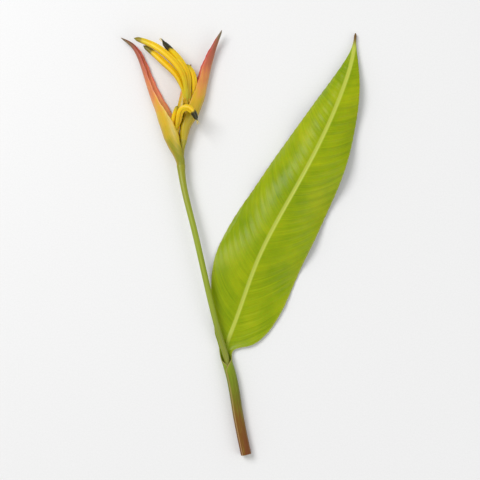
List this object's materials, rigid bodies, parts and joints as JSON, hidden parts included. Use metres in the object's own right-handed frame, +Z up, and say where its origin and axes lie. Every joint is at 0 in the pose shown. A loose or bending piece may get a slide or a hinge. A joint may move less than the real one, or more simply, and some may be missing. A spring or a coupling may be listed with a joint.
{
  "type": "heliconia flower",
  "caption": "Picked heliconia flower with folded boat-shaped bracts, slender arched florets and a long stalk out of the sheath of one leaf, lying flat.",
  "frame": {"origin": "bottom centre of the whole object's bounding box, on the surface that it lies on", "axes": "+Y along the object from the cut end of the stalk to the flower, +Z up from the surface, +X to the leaf's side"},
  "size_m": [0.1744, 0.308, 0.0237],
  "materials": {
    "stalk": "satin",
    "leaf": "satin",
    "bract": "satin",
    "floret": "satin"
  },
  "bodies": {
    "root": {"stalk": "stalk", "leaf": "leaf", "bract_1": "bract", "bract_2": "bract", "bract_3": "bract", "bract_4": "bract", "florets_1": "floret", "florets_2": "floret", "florets_3": "floret"}
  },
  "joints": []
}
